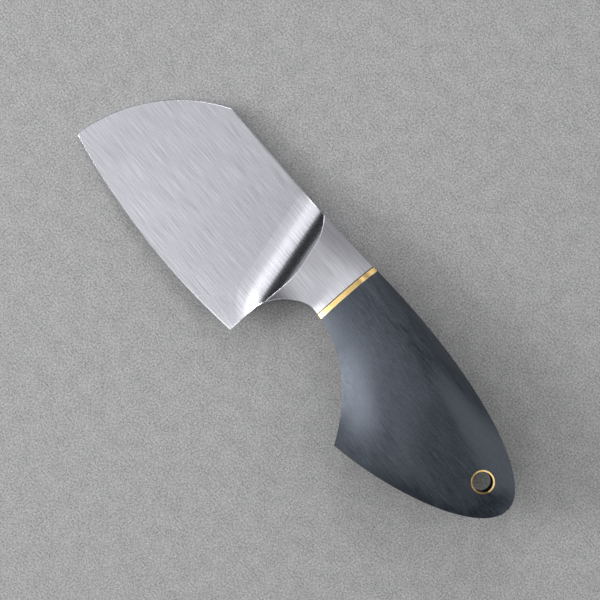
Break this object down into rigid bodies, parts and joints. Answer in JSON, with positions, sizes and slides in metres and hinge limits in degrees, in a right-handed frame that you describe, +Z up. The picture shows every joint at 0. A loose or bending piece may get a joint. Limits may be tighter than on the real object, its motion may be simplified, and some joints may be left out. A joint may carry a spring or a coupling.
{
  "type": "mini cleaver",
  "caption": "Small fixed-blade cleaver with a flat-ground blade, coved integral bolster, brass spacer and black handle with a finger notch and a lined lanyard hole.",
  "frame": {"origin": "middle of the bounding box's underside, on the table", "axes": "+X from the blade's tip to the butt, +Y towards the spine, +Z up from the table the knife lies on"},
  "size_m": [0.1434, 0.04, 0.0215],
  "materials": {
    "satin_steel": "satin, brushed along the length",
    "spacer_brass": "fine satin",
    "handle_black": "sanded satin black",
    "tube_brass": "ground flush, fine satin",
    "bedding_epoxy": "cured amber resin, hidden"
  },
  "bodies": {
    "root": {"blade": "satin_steel", "spacer": "spacer_brass", "handle": "handle_black", "lanyard_tube": "tube_brass", "tang_bedding": "bedding_epoxy"}
  },
  "joints": []
}
